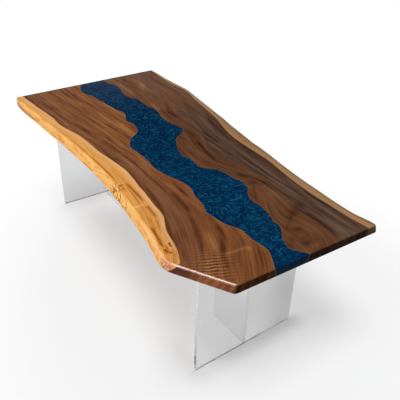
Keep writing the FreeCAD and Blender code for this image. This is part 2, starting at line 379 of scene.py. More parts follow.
# The levels that a wall passes through, from the top face to the underside. Each is a height and an inset:
# quarter circles at the top and bottom edges with an even wall between them.
def wallLevels(upperRadius):
    upperAngles = np.radians(top["upperAngles"])[:, None]
    underAngles = np.radians(top["underAngles"])[:, None]
    underRadius = top["underRadius"] + 0 * upperRadius
    upperZ = top["upper"] - upperRadius * (1 - np.cos(upperAngles))
    upperInset = upperRadius * (1 - np.sin(upperAngles))
    underZ = top["under"] + underRadius * (1 - np.cos(underAngles))
    underInset = underRadius * (1 - np.sin(underAngles))
    share = np.linspace(0, 1, top["wallPoints"])[1:-1, None]
    wallZ = upperZ[-1] + (underZ[0] - upperZ[-1]) * share
    return np.concatenate([upperZ, wallZ, underZ]), np.concatenate([upperInset, 0 * wallZ, underInset])


# Faces of a grid of rows and columns whose first vertex has the given number
def gridFaces(rows, columns, first):
    a = first + np.arange(rows - 1)[:, None] * columns + np.arange(columns - 1)
    return np.stack([a, a + 1, a + columns + 1, a + columns], -1).reshape(-1, 4)


# A block between a front curtain and a back curtain. Each is an array of levels by columns of points, from
# the top face down. Six grids close it: top, underside, both curtains and both ends.
def closedBlock(name, front, back, rows):
    v = np.linspace(0, 1, rows)[:, None, None]
    sheets = [front, back]
    for level in (0, -1):
        sheets.append(front[level] + (back[level] - front[level]) * v)
    for column in (0, -1):
        sheets.append(front[:, column] + (back[:, column] - front[:, column]) * v)
    points = np.concatenate([sheet.reshape(-1, 3) for sheet in sheets])
    faces = []
    first = 0
    for sheet in sheets:
        faces.append(gridFaces(sheet.shape[0], sheet.shape[1], first))
        first += sheet.shape[0] * sheet.shape[1]
    mesh = bpy.data.meshes.new(name)
    mesh.from_pydata(points, [], np.concatenate(faces))
    shell = bmesh.new()
    shell.from_mesh(mesh)
    bmesh.ops.remove_doubles(shell, verts=shell.verts, dist=top["weld"])
    bmesh.ops.recalc_face_normals(shell, faces=shell.faces)
    shell.to_mesh(mesh)
    shell.free()
    mesh.shade_smooth()
    mesh.set_sharp_from_angle(angle=math.radians(top["sharpAngle"]))
    return addObject(name, mesh)


# Puts a number, or three, on each vertex under a name that a finish reads
def setField(mesh, name, values):
    kind = "FLOAT" if values.ndim == 1 else "FLOAT_VECTOR"
    key = "value" if values.ndim == 1 else "vector"
    field = mesh.attributes.new(name, kind, "POINT")
    field.data.foreach_set(key, np.ascontiguousarray(values, np.float32).ravel())


# Each vertex's place, whose key is "co", or its "normal"
def vertexRows(mesh, key):
    rows = np.empty(len(mesh.vertices) * 3, np.float32)
    mesh.vertices.foreach_get(key, rows)
    return rows.reshape(-1, 3).astype(float)


# The live edge's own relief. Each kind has its height outward, its length along the edge, how often it
# changes down the wall, how far it slants, and where it starts in the noise. The other values are where the
# relief fades in and out: from the -X end, from the last listed point, down the wall, and along for the
# knuckles.
edgeRelief = {
    "swell": (0.0016, 0.110, 1.3, 0.00, 7, 3),
    "lesserSwell": (0.0008, 0.045, 2.1, 0.00, 20, 9),
    "flute": (0.0008, 0.016, 4.0, 0.06, 40, 2),
    "knuckle": (0.0030, 0.032, 1.7, 0.00, 11, 5),
    "radiusWave": 0.09,
    "startFade": (0.02, 0.10),
    "stopFade": (0.12, 0.06),
    "wallFade": (0.10, 0.35, 0.80, 0.95),
    "knuckleFade": (0.17, 0.22, 0.41, 0.46),
}


# Sum of the kinds of relief at any x and drop, which is the share of the way down the wall
def reliefAt(x, drop, seed):
    total = 0 * drop
    for number, kind in enumerate(("swell", "lesserSwell", "flute", "knuckle")):
        height, length, rows, slant, startX, startZ = edgeRelief[kind]
        bulge = height * softNoise((x + slant * drop) / length + startX, drop * rows + startZ, seed + number)
        total = total + bulge * (window(*edgeRelief["knuckleFade"], x) if kind == "knuckle" else 1)
    return total


# A slab's live-edge curtain: the wall line between the two outer lines at each level, brought in by the
# level's inset and moved by the relief, which fades out at both edges of the wall, the corners and the cut
def liveCurtain(slab):
    shares, cutEnd, side, seed = [slab[key] for key in ("edgeShares", "cutEnd", "side", "seed")]
    underLine = outerLine(shares, cutEnd, 1)
    upperLine = outerLine(shares, cutEnd, 2)
    tangent = np.gradient(upperLine + underLine, axis=0)
    outward = np.stack([tangent[:, 1], -tangent[:, 0]], 1) * -side
    outward /= np.linalg.norm(outward, axis=1)[:, None]
    outward[0] = (-1, 0)
    outward[-1] = (1, 0)
    x = upperLine[:, 0]
    first, full = [number - top["halfLength"] for number in edgeRelief["startFade"]]
    last, gone = [scaled(shares, 2)[-1][0] - number for number in edgeRelief["stopFade"]]
    alive = window(first, full, last, gone, x)
    wander = softNoise(x / edgeRelief["radiusWave"] + 5, x * 0, seed + 9)
    heights, insets = wallLevels((top["upperRadius"] + top["radiusWander"] * alive * wander)[None, :])
    drop = (top["upper"] - heights) / (top["upper"] - top["under"])
    line = upperLine[None] + (underLine - upperLine)[None] * drop[:, :, None]
    relief = reliefAt(x + 0 * drop, drop, seed) * alive * window(*edgeRelief["wallFade"], drop)
    plan = line + outward[None] * (relief - insets)[:, :, None]
    return np.concatenate([plan, heights[:, :, None]], 2)


# A shore curtain: at each level and column it stands on the shore, at the x of the facing curtain
def shoreCurtain(side, x):
    heights = wallLevels(np.full((1, 1), top["upperRadius"]))[0]
    heights = heights + 0 * x
    return np.stack([x, shoreAt(x, heights, side), heights], 2)


# Rows of the grain are in millimetres, with turns in degrees and tones in hundredths. Swells, which the
# grain flows round: x, y, half length, half width, turn, height. Clouds: x, y, half width along, half width
# across, turn, tone. Streaks: from x, y, to x, y, bow to the left, half width, tone.
swellUnits = (1000, 1000, 1000, 1000, 1, 1000)
cloudUnits = (1000, 1000, 1000, 1000, 1, 100)
streakUnits = (1000, 1000, 1000, 1000, 1000, 1000, 100)

# Each slab's grain on the top face. Sapwood meets heartwood at sapLine. The grain follows edgeLine by the
# sapwood and riverLine by the river. bandTone and coolness are tone and mauve by the share of the way from
# one to the other, and bandStrength and coolAlong say where along the slab they show. toneAlong is for the
# whole slab and wallTone for its walls. lean is how far the growth rings lean out with depth. The rest is
# how strong each is along the slab: thin brown veins in the sapwood, the highlight painted on the top edge,
# the dark rim, whose reach is in from the edge and which on the back slab is painted shade, and the brown
# foot of the wall.
frontSlab = {
    "node": "live_edge_slab_front",
    "edgeShares": frontEdgeShares,
    "cutEnd": cutEndShares,
    "side": -1,
    "seed": 11,
    "sapLine": fromRows(1000, [
        (-1200, -522), (-1067, -508), (-900, -485), (-760, -464), (-640, -461), (-560, -447), (-450, -418),
        (-330, -402), (-200, -395), (-100, -380), (-30, -368), (50, -358), (90, -353), (160, -357),
        (220, -361), (280, -371), (330, -371), (400, -378), (500, -386), (560, -389), (600, -399),
        (640, -418), (700, -444), (760, -455), (820, -465), (870, -478), (920, -500), (938, -509),
        (947, -517), (952, -530), (960, -570), (1080, -700), (1200, -800),
    ]),
    "edgeLine": fromRows(1000, [
        (-1200, -522), (-1000, -498), (-760, -464), (-560, -445), (-330, -404), (-100, -380), (90, -356),
        (280, -368), (500, -388), (640, -418), (760, -457), (860, -500), (960, -552), (1080, -622),
        (1200, -695),
    ]),
    "riverLine": fromRows(1000, [
        (-1200, -222), (-800, -172), (-400, -112), (0, -80), (300, -75), (550, -55), (750, -85), (900, -125),
        (1000, -160), (1100, -208), (1200, -262),
    ]),
    "bandTone": [
        (-0.01, 0), (0, -0.75), (0.05, -0.62), (0.09, -0.20), (0.14, 0.05), (0.20, 0.10), (0.30, -0.05),
        (0.45, 0),
    ],
    "bandStrength": [(-0.8, 1), (-0.4, 0.6), (0, 0.4), (0.3, 0.4), (0.6, 0.7), (0.9, 0.5), (1.2, 0.1)],
    "toneAlong": [
        (-1.2, -0.12), (-0.9, -0.06), (-0.4, 0.02), (0, 0), (0.4, -0.05), (0.8, -0.25), (1.2, -0.10),
    ],
    "wallTone": [(0.90, 0), (0.92, -1.3), (0.985, -1.2), (1.02, -0.6), (1.06, -0.2), (1.2, -0.5)],
    "coolness": [(-0.1, 0.2), (0, 0.35), (0.08, 0.75), (0.30, 0.75), (0.45, 0.30), (0.7, 0.10), (2, 0)],
    "coolAlong": [(-1.2, 0.7), (-0.9, 0.5), (-0.4, 0.5), (0.1, 1), (0.7, 1), (0.95, 0.75), (1.2, 0.6)],
    "lean": [(0.80, 0.45), (0.90, -1.42), (0.97, -1.42), (1.05, -0.75)],
    "veins": [(-0.1, 0.25), (0.15, 0.6), (0.42, 1), (0.88, 1), (0.95, 0.4)],
    "paintedHighlightEdge": [(0.45, 0), (0.70, 0.45), (0.82, 1)],
    "rimAlong": [(-1.0, 0.15), (-0.3, 0.25), (-0.15, 0.75), (0.12, 0.75), (0.20, 0)],
    "rimReach": (0.008, 0.014, 0.021),
    "footAlong": [(-1.2, 1), (-1.05, 0.9), (-0.80, 0.25), (-0.3, 0.05), (1.2, 0)],
    "swells": fromRows(swellUnits, [(-500, -200, 250, 80, 0, 12), (970, -200, 90, 60, 0, -16)]),
    "clouds": fromRows(cloudUnits, [
        (-865, -222, 30, 10, 0, 60), (-1042, -206, 14, 10, -20, -50), (-1036, -301, 16, 11, 0, -35),
        (-1000, -343, 16, 10, 0, -40), (-1152, -338, 22, 12, 0, -35), (-600, -160, 100, 40, 10, 20),
        (-440, -130, 60, 30, 0, 30), (-450, -190, 60, 14, 8, -35), (180, -277, 60, 9, 0, -45),
        (430, -194, 40, 16, 0, -35), (610, -255, 40, 16, -8, -40), (800, -335, 50, 14, -24, -30),
        (915, -375, 40, 14, -25, -50), (880, -300, 80, 24, -18, 35), (970, -285, 40, 16, -40, -45),
        (1018, -180, 20, 16, 0, 85), (1060, -215, 60, 24, -25, 30), (920, -152, 50, 16, -15, 50),
        (690, -370, 80, 20, -20, 25), (900, -420, 80, 16, -24, 25), (218, -450, 17, 13, 60, -70),
        (262, -455, 11, 18, 0, -60), (475, -420, 18, 9, 0, -50), (20, -215, 60, 12, 0, 25),
        (345, -412, 70, 22, 0, -28), (700, -213, 45, 24, -10, -40),
    ]),
    "streaks": fromRows(streakUnits, [
        (-990, -406, -780, -378, 0, 10, -45), (-810, -377, -590, -331, 0, 8, -65),
        (-660, -401, -380, -345, 4, 10, -45), (-750, -290, -390, -220, 4, 11, -30),
        (-740, -262, -420, -205, 3, 6, 30), (-1160, -175, -1010, -182, 0, 4, -100),
        (-825, -240, -770, -220, 0, 7, -50), (-900, -420, -650, -375, 2, 7, 35),
        (-950, -310, -600, -262, 4, 7, 25), (-560, -330, -400, -300, 2, 6, 25),
        (-390, -311, -235, -284, 1, 7, 48), (-355, -277, -240, -270, 0, 8, -50),
        (-250, -270, -145, -249, 2, 9, 45), (-160, -278, -85, -259, 1, 7, 45),
        (-330, -322, -70, -300, 3, 13, -62), (-100, -300, 70, -269, 4, 12, -45),
        (0, -271, 230, -277, 0, 10, -52), (180, -275, 420, -258, 0, 12, -48),
        (390, -256, 640, -262, 6, 15, -60), (610, -262, 940, -380, 4, 16, -60),
        (80, -261, 215, -253, 0, 4.5, 55), (50, -248, 430, -246, 0, 7, -30),
        (-160, -334, 110, -289, 4, 8, 40), (30, -292, 460, -299, 4, 13, 40),
        (-100, -352, 60, -318, 2, 8, -35), (260, -345, 560, -362, 4, 12, -35),
        (310, -190, 530, -197, 0, 11, -60), (290, -222, 640, -206, 4, 11, 60),
        (420, -302, 640, -320, 4, 8, 35), (480, -290, 620, -302, 0, 4, -40),
        (790, -288, 975, -330, 4, 15, 40), (750, -197, 1000, -322, 24, 18, -75),
        (985, -305, 1100, -350, 0, 13, -50), (885, -146, 1000, -188, 2, 5, -60),
        (1020, -132, 1180, -217, 2, 4, -60), (1050, -128, 1190, -200, 2, 4, -50),
        (995, -145, 1170, -237, 2, 5, -40), (1006, -180, 996, -312, 0, 7, 85),
        (700, -395, 960, -495, 4, 8, -40), (760, -385, 1000, -480, 4, 8, 30),
        (-430, -481, -180, -459, 1, 6, -55), (-190, -460, 180, -456, 3, 7, -65),
        (20, -419, 200, -412, 0, 6, -40), (185, -412, 455, -416, 0, 8, -85),
        (455, -421, 590, -428, 0, 10, -75), (620, -489, 810, -520, 2, 8, -100),
        (660, -443, 785, -481, 0, 4, -100), (590, -436, 720, -474, 0, 4, -80),
        (550, -458, 690, -487, 0, 4, -60), (790, -500, 870, -520, 0, 5, -90),
        (448, -425, 446, -500, 0, 6, 60), (811, -522, 862, -535, 2, 4, -90),
    ]),
}
backSlab = {
    "node": "live_edge_slab_back",
    "edgeShares": backEdgeShares,
    "cutEnd": None,
    "side": 1,
    "seed": 31,
    "sapLine": fromRows(1000, [
        (-1200, 512), (-1100, 511), (-1000, 509), (-900, 511), (-850, 516), (-750, 534), (-650, 532),
        (-580, 519), (-500, 508), (-420, 498), (-315, 484), (-209, 471), (-104, 445), (-9, 424), (106, 410),
        (212, 413), (317, 418), (400, 421), (548, 407), (706, 397), (837, 396), (916, 402), (1074, 412),
        (1200, 430),
    ]),
    "edgeLine": fromRows(1000, [
        (-1200, 505), (-1000, 502), (-850, 512), (-720, 524), (-580, 511), (-420, 490), (-209, 462),
        (-9, 421), (150, 411), (400, 418), (600, 404), (837, 396), (1074, 412), (1200, 430),
    ]),
    "riverLine": fromRows(1000, [
        (-1200, 180), (-800, 200), (-400, 170), (-100, 115), (0, 90), (150, 70), (300, 80), (450, 120),
        (600, 130), (800, 120), (1000, 100), (1200, 110),
    ]),
    "bandTone": [
        (-0.01, 0), (0, -0.50), (0.05, -0.40), (0.09, -0.10), (0.20, -0.05), (0.40, -0.10), (0.60, 0.05),
        (0.80, 0.10), (2, 0.05),
    ],
    "bandStrength": [(-0.6, 0.5), (-0.2, 0.8)],
    "toneAlong": [(-1.2, 0.34), (-0.6, 0.24), (-0.2, -0.10), (0.2, -0.15), (0.5, 0), (1.2, 0.05)],
    "wallTone": 0,
    "coolness": [(-0.1, 0.3), (0, 0.6), (0.10, 0.95), (0.44, 0.90), (0.58, 0.62), (0.72, 0.15), (2, 0)],
    "coolAlong": [(-0.6, 0.25), (-0.15, 0.9), (1.2, 1)],
    "lean": 0.45,
    "veins": [(-1.2, 0.5), (0.5, 0.8), (1.2, 1.3)],
    "paintedHighlightEdge": 0,
    # The back's dark rim is painted shade along its top edge, which turns away from the lamps
    "rimAlong": 0.9,
    "rimReach": (-0.020, 0.004, 0.015),
    "footAlong": 0.5,
    "swells": fromRows(swellUnits, [
        (1060, 165, 130, 85, 0, -100), (680, 165, 230, 80, 0, -65), (-930, 280, 200, 70, 0, -40),
        (-420, 250, 150, 60, 0, 45), (-50, 240, 120, 50, 0, -30),
    ]),
    "clouds": fromRows(cloudUnits, [
        (-930, 300, 60, 26, -15, 45), (-420, 255, 90, 45, 8, -55), (-235, 215, 70, 20, 0, 30),
        (40, 120, 100, 30, -4, 10), (462, 182, 34, 20, 10, -55), (560, 192, 22, 30, 0, -35),
        (720, 190, 90, 50, -10, 25), (855, 272, 50, 30, -30, -55), (895, 205, 26, 50, 30, -45),
        (960, 300, 100, 28, 0, -35), (1050, 185, 90, 34, 0, 45), (1165, 110, 24, 40, 0, 45),
        (1020, 120, 20, 30, -20, -50), (1130, 80, 18, 28, 10, -50), (1070, 45, 24, 18, 0, -45),
        (1100, 0, 26, 14, 0, -45), (1070, 100, 22, 24, 0, 25), (-1100, 430, 120, 50, 0, -20),
        (950, 262, 80, 28, -5, -35), (1070, 262, 80, 22, 0, -20),
    ]),
    "streaks": fromRows(streakUnits, [
        (-290, 432, 140, 369, -6, 12, -55), (-260, 448, 150, 390, -8, 7, 40),
        (-340, 400, -60, 352, -4, 12, 35), (-120, 289, 115, 297, -3, 9, -75),
        (-65, 257, 330, 278, -4, 9, -75), (-45, 196, 300, 147, -8, 10, -80), (-135, 196, -45, 220, 0, 9, -45),
        (-125, 121, -40, 136, 0, 5, -55), (115, 222, 210, 224, 0, 12, -35), (0, 238, 260, 246, 0, 8, 35),
        (20, 150, 260, 125, -4, 8, 30), (150, 385, 700, 372, -6, 14, -45), (120, 350, 800, 352, -14, 8, 60),
        (200, 322, 860, 342, -10, 11, -50), (300, 292, 860, 340, -10, 7, 45),
        (250, 270, 640, 292, -4, 8, -40), (445, 178, 640, 250, 16, 14, -60), (560, 236, 840, 272, 6, 14, -55),
        (545, 150, 620, 232, 10, 10, -30), (420, 225, 620, 280, 10, 10, 30), (585, 176, 710, 107, -4, 6, -45),
        (830, 262, 945, 115, 8, 30, -14), (900, 195, 1010, 52, -4, 8, -35),
        (880, 232, 1200, 250, 12, 16, -60), (860, 262, 1200, 278, 8, 7, 45), (860, 345, 1190, 374, 0, 7, 55),
        (900, 322, 1200, 340, 3, 8, -50), (1000, 300, 1200, 312, 0, 7, 45),
        (700, 385, 1200, 400, -6, 12, -50), (940, 215, 1150, 222, 14, 6, 30),
        (-1110, 317, -910, 306, 9, 14, 45), (-900, 312, -700, 313, 12, 12, 45),
        (-1140, 170, -790, 187, -4, 14, 45), (-645, 203, -495, 205, 7, 13, 50),
        (-1185, 266, -1060, 222, 0, 14, -45), (-845, 268, -760, 269, 0, 9, -40),
        (-785, 418, -715, 415, 0, 10, -35), (-490, 232, -350, 262, 4, 14, -40),
        (-600, 345, -300, 335, 6, 10, 25), (-700, 400, -350, 385, 6, 8, -30),
        (-1150, 380, -850, 375, 4, 10, -25), (-620, 290, -480, 270, 4, 10, -30),
    ]),
}


# Sum of soft elliptic clouds: each falls off as a bell curve along and across its turned axes
def cloudTone(clouds, x, y):
    cx, cy, along, across, turn, tone = clouds.T[:, :, None]
    turn = np.radians(turn)
    u = (x - cx) * np.cos(turn) + (y - cy) * np.sin(turn)
    v = (y - cy) * np.cos(turn) - (x - cx) * np.sin(turn)
    return (tone * np.exp(-((u / along) ** 2 + (v / across) ** 2))).sum(0)


# Sum of soft streaks: each follows a parabola over its chord, falls off as a bell curve across it, and
# fades in and out over its end quarters
def streakTone(streaks, x, y):
    x0, y0, x1, y1, bow, width, tone = streaks.T[:, :, None]
    length = np.hypot(x1 - x0, y1 - y0)
    u = ((x - x0) * (x1 - x0) + (y - y0) * (y1 - y0)) / length**2
    v = ((y - y0) * (x1 - x0) - (x - x0) * (y1 - y0)) / length - 4 * bow * u * (1 - u)
    return (tone * window(0, 0.25, 0.75, 1, u) * np.exp(-((v / width) ** 2))).sum(0)


# Where the wood changes, in metres: down from the top face, in from the top's outer edge, along and across,
# or in from the ends. The two turns are of the upward and the sideways part of the normal.
woodReach = {
    "outer": (0.001, 0.012),
    "roundedDepth": 0.012,
    "roundedTurn": (0.15, 0.40, 0.82, 0.96),
    "roundedAside": (0.33, 0.36),
    "roundedEnd": (-0.014, -0.006),
    "sapBand": (0.007, 0.015),
    "sapBandEnd": (0.84, 0.90),
    "cutFace": (0.99, 1.03),
    "endFace": (-0.010, -0.002),
    "endTurn": (0.60, 0.90),
    "farRim": (0.005, 0.018),
    "farRimShadeStrength": 0.9,
    "grainWidth": 0.30,
}


# The wood's fields at any point. The growth rings lean with depth, so the walls and the underside carry on
# the top's figure. "grain" is the place along, across and below, and "sapwood" is how far past the sap
# line.
def addWoodFields(mesh, slab):
    side = slab["side"]
    x, y, z = vertexRows(mesh, "co").T
    normals = vertexRows(mesh, "normal")
    depth = top["upper"] - z
    level = y + side * profile(slab["lean"], x) * depth
    edgeLine = smoothLine(slab["edgeLine"], x)
    ring = level + cloudTone(slab["swells"], x, level)
    across = (ring - edgeLine) / (smoothLine(slab["riverLine"], x) - edgeLine)
    outer = smoothStep(*woodReach["outer"], depth)
    bands = profile(slab["bandTone"], across) * profile(slab["bandStrength"], x)
    drawn = cloudTone(slab["clouds"], x, level) + streakTone(slab["streaks"], x, level)
    steady = profile(slab["toneAlong"], x) + outer * profile(slab["wallTone"], x)
    edgeGap = side * (smoothLine(scaled(slab["edgeShares"], 2), x) - y)
    start, crest, stop = slab["rimReach"]
    upper = depth < woodReach["roundedDepth"]
    # The round-over, where a highlight is painted into the colour and the coat is raised
    rounded = window(*woodReach["roundedTurn"], normals[:, 2]) * upper
    rounded *= smoothStep(*woodReach["roundedAside"], np.abs(y))
    rounded *= 1 - smoothStep(*woodReach["roundedEnd"], np.abs(x) - top["halfLength"])
    sapBand = (1 - smoothStep(*woodReach["sapBand"], edgeGap)) * (1 - smoothStep(*woodReach["sapBandEnd"], x))
    cutFace = curl["cutFace"] * smoothStep(*woodReach["cutFace"], x) * outer
    fields = {
        "grain": np.stack([x, across * woodReach["grainWidth"], depth], 1),
        "sapwood": side * (level - smoothLine(slab["sapLine"], x)),
        "tone": bands + drawn + steady,
        "cool": profile(slab["coolness"], across) * profile(slab["coolAlong"], x),
        "outer": outer,
        "sapWall": np.maximum(outer, sapBand * (side < 0)),
        "veins": profile(slab["veins"], x),
        "bright": rounded * profile(slab["paintedHighlightEdge"], x),
        "curl": np.maximum(curlStrength(x, y), cutFace),
        "endFace": endFaceField(x, normals),
        "rim": window(start, crest, crest, stop, edgeGap) * profile(slab["rimAlong"], x) * upper,
        "farRim": farRimShadeField(x),
        "foot": outer * profile(slab["footAlong"], x),
        "shore": side * (y - shoreAt(x, z, side)),
        "knots": knotField(x, edgeGap, outer) * (side < 0),
    }
    for name, values in fields.items():
        setField(mesh, name, values)


# 1 on the two end faces, fading over the round-over
def endFaceField(x, normals):
    reach = smoothStep(*woodReach["endFace"], np.abs(x) - top["halfLength"])
    return reach * smoothStep(*woodReach["endTurn"], np.abs(normals[:, 0]))


# Painted shade, strong along the far end's top edge, which turns away from the lamps
def farRimShadeField(x):
    return woodReach["farRimShadeStrength"] * (1 - smoothStep(*woodReach["farRim"], x + top["halfLength"]))


# Where the live edge has knots: a stretch of the wall, and a shorter stretch of the top beside it
knots = {"wall": (0.165, 0.195, 0.370, 0.420), "top": (0.170, 0.200, 0.250, 0.300), "reach": (0.016, 0.034)}


def knotField(x, edgeGap, outer):
    upper = window(*knots["top"], x) * (1 - smoothStep(*knots["reach"], edgeGap))
    return np.maximum(window(*knots["wall"], x) * outer, upper)


# Curled figure that crosses the grain by the sloping cut: its middle, size and direction, the length of a
# ripple, and how strong it is on the cut's face and in the colour. Noise bends its lines and makes it
# patchy.
curl = {
    "centre": (1.048, -0.400),
    "along": 0.095,
    "across": 0.074,
    "direction": (0.91, -0.41),
    "wave": 0.0212,
    "cutFace": 0.8,
    "tone": 0.42,
    "bend": (22, 0.022),
    "patch": 16,
    "patchStep": (0.30, 0.60),
}


# How strong the curl is: a bell curve round its middle
def curlStrength(x, y):
    dx, dy = curl["direction"]
    u = (x - curl["centre"][0]) * dx + (y - curl["centre"][1]) * dy
    v = (y - curl["centre"][1]) * dx - (x - curl["centre"][0]) * dy
    return np.exp(-((u / curl["along"]) ** 2 + (v / curl["across"]) ** 2))


# Wood: colours are linear. The heartwood, its mauve kind and the sapwood have stops in thousandths, from
# the darkest streak to the lightest. "detail" is how strong the streaks are on the far half and on the near
# half.
frontWood = {
    "name": "golden_edge_wood",
    "marked": True,
    "heart": [
        (0, 36, 10, 4), (250, 108, 33, 11), (500, 220, 80, 26), (750, 315, 130, 42), (1000, 450, 225, 85),
    ],
    "cool": [(0, 45, 14, 8), (300, 115, 43, 23), (600, 205, 90, 52), (1000, 330, 170, 105)],
    "sap": [
        (0, 230, 66, 8), (250, 440, 145, 20), (500, 640, 266, 54), (750, 765, 388, 112),
        (1000, 890, 540, 205),
    ],
    "paleSap": (0.740, 0.415, 0.180),
    "outerSap": (0.950, 0.530, 0.160),
    "wallHeart": (0.285, 0.088, 0.030),
    "rim": (0.330, 0.095, 0.012),
    "farRim": (0.030, 0.012, 0.006),
    "foot": (0.340, 0.110, 0.030),
    "stain": (0.660, 0.215, 0.030),
    "shoreEdge": (0.420, 0.160, 0.045),
    "end": 0.20,
    "figure": 0.30,
    "sapBlend": 0.003,
    "detail": (1.32, 0.76),
    "paleFade": 0.45,
}
backWood = {
    "name": "brown_edge_wood",
    "marked": False,
    "heart": [(0, 20, 6, 4), (250, 60, 21, 8), (500, 112, 42, 16), (750, 165, 69, 27), (1000, 260, 130, 56)],
    "cool": [(0, 26, 14, 10), (300, 65, 40, 29), (600, 117, 76, 54), (1000, 200, 140, 102)],
    "sap": [
        (0, 87, 38, 17), (280, 184, 88, 37), (520, 270, 141, 62), (780, 360, 198, 90), (1000, 460, 277, 138),
    ],
    "paleSap": (0.375, 0.206, 0.100),
    "outerSap": (0.300, 0.165, 0.075),
    "wallHeart": (0.070, 0.026, 0.011),
    # Painted shade along the back's top edge
    "rim": (0.040, 0.032, 0.020),
    "farRim": (0.030, 0.012, 0.006),
    "foot": (0.120, 0.055, 0.022),
    "stain": (0.160, 0.072, 0.028),
    "shoreEdge": (0.190, 0.075, 0.026),
    "end": 0.19,
    "figure": 0.44,
    "sapBlend": 0.007,
    "detail": (1.05, 1.0),
    "paleFade": 0.0,
}

# Noises of the figure: how often each changes along, across and below the grain, its detail, its roughness,
# and the step that sharpens it
figures = {
    "wander": ((2.2, 9, 6), 2, 0.5, None),
    "wobble": ((7, 40, 25), 2, 0.5, None),
    "broad": ((1.3, 24, 8), 2, 0.5, None),
    "middle": ((3.4, 62, 20), 2, 0.5, None),
    "narrow": ((5, 165, 40), 2, 0.6, None),
    "fibre": ((16, 620, 160), 2, 0.6, None),
    "lines": ((1.8, 240, 60), 2, 0.5, (0.56, 0.72)),
    "pores": ((70, 1500, 300), 1, 0.5, (0.64, 0.76)),
    "veins": ((1.3, 330, 90), 1, 0.5, (0.55, 0.66)),
    "stain": ((10, 60, 34), 3, 0.65, (0.44, 0.66)),
}

# How far noise bends the grain and the sap line, how strongly parts of the figure show in both slabs, where
# they fade in metres, and the colour and strength of the highlight painted on the round-over
woodLook = {
    "wander": 0.035, "wobble": 0.006, "sapWander": 0.010, "sapNarrow": 0.005,
    "broad": 0.68, "middle": 0.55, "narrow": 0.46, "fibre": 0.36, "lines": 0.09, "pores": 0.08,
    "sapTone": 0.64, "sapMiddle": 0.65, "sapFine": 0.60, "sapFibre": 0.25, "sapFigure": 0.50,
    "sapVeins": 0.30, "detailFade": (-0.3, 0.7), "pale": 0.70, "paleFade": (0.76, 0.90),
    "paleDepth": (0.006, 0.045), "outerSap": 0.75, "stain": 0.75, "footFade": (0.012, 0.036),
    "shoreEdge": 0.35, "shoreFade": (0.001, 0.007), "bright": (0.86, 0.50, 0.40), "paintedHighlightStrength": 0.40,
    "grooveDepth": 0.00012,
}

# Small marks in the golden sapwood. Spots are on the top face, in millimetres: x, y, half length, half
# width. Knots are bent cells, whose size along x, y and z is in metres. The wall turns red and mottled in a
# zone where it meets the sloping cut.
marks = {
    "crease": (0.360, 0.105, 0.008),
    "spot": (0.200, 0.052, 0.008),
    "islands": (1.000, 0.640, 0.240),
    "blush": (0.420, 0.120, 0.045),
    "palePatch": (0.760, 0.360, 0.200),
    "spots": fromRows(1000, [
        (808, -484, 20, 5.5), (793, -479, 10, 4.5), (788, -518, 22, 4.5), (835, -521, 18, 5),
        (858, -509, 10, 6), (234, -462, 5, 14),
    ]).tolist(),
    "spotEdge": 2.5,
    "spotStrength": 0.9,
    "knotCell": (0.042, 0.034, 0.026),
    "knotBend": 0.020,
    "creaseReach": (0.04, 0.22),
    "islandReach": (0.08, 0.30),
    "islandStrength": 0.45,
    "creaseStrength": 0.95,
    "zone": (0.896, 0.050),
    "zoneStrength": (0.8, 0.9),
}


# Noise drawn out along the grain, and sharpened where its row says so
def grainNoise(finish, along, across, depth, kind):
    often, detail, roughness, reach = figures[kind]
    place = finish.joined(along * often[0], across * often[1], depth * often[2])
    made = finish.noise(1, detail, roughness, place)
    return made.step(*reach) if reach else made


# Ripples across the grain: a sharpened sine wave, bent and broken by noise
def curlRipple(finish, x, y):
    often, amount = curl["bend"]
    bend = (finish.noise(often, 2) - 0.5) * amount
    dx, dy = curl["direction"]
    phase = (x * dx + y * dy + bend) * (2 * math.pi / curl["wave"])
    crest = (phase.calc("SINE") * 0.5 + 0.5) ** 1.6 * 1.8 - 0.7
    patchy = finish.noise(1, 1, 0.5, finish.joined(x * curl["patch"], y * curl["patch"], 3))
    patchy = patchy.step(*curl["patchStep"])
    return crest * finish.field("curl") * (0.35 + patchy * 0.65)


# Spots are filled ellipses
def spotStrength(x, y):
    spots = []
    for cx, cy, reachX, reachY in marks["spots"]:
        u = (x - cx) / reachX
        v = (y - cy) / reachY
        spots.append(((1 - u * u - v * v) * marks["spotEdge"]).bounded() * marks["spotStrength"])
    return largest(spots)


# How far a place is from the crease between two knots, in cells; noise bends the creases
def knotDistance(finish, x, y, z):
    bend = (finish.noise(34, 2) - 0.5) * marks["knotBend"]
    cellX, cellY, cellZ = marks["knotCell"]
    place = finish.joined((x + bend) / cellX, (y - bend) / cellY, (z + bend) / cellZ)
    return finish.cells(place, {"feature": "DISTANCE_TO_EDGE"}, "Distance")


# The colour with spots, knots and the mottled zone, and the height of the knots in the bump
def addMarks(finish, colour, place, outer, sapwood):
    x, y, z = place
    knotted = finish.field("knots")
    gap = knotDistance(finish, x, y, z)
    colour = finish.mix(colour, marks["spot"], spotStrength(x, y))
    broken = finish.noise(70, 2).step(0.36, 0.56)
    islands = knotted * gap.step(*marks["islandReach"]) * marks["islandStrength"]
    crease = knotted * (1 - gap.step(*marks["creaseReach"])) * broken * marks["creaseStrength"]
    colour = finish.mix(colour, marks["islands"], islands)
    colour = finish.mix(colour, marks["crease"], crease)
    middle, half = marks["zone"]
    pale, red = marks["zoneStrength"]
    zone = (1 - ((x - middle) / half) ** 2).bounded() * outer * sapwood.step(-0.002, 0.004)
    mottle = finish.noise(75, 3, 0.6).step(0.40, 0.58)
    colour = finish.mix(colour, marks["palePatch"], zone * pale)
    colour = finish.mix(colour, marks["blush"], zone * mottle * red)
    return colour, knotted * gap.step(0.0, 0.35) * 4


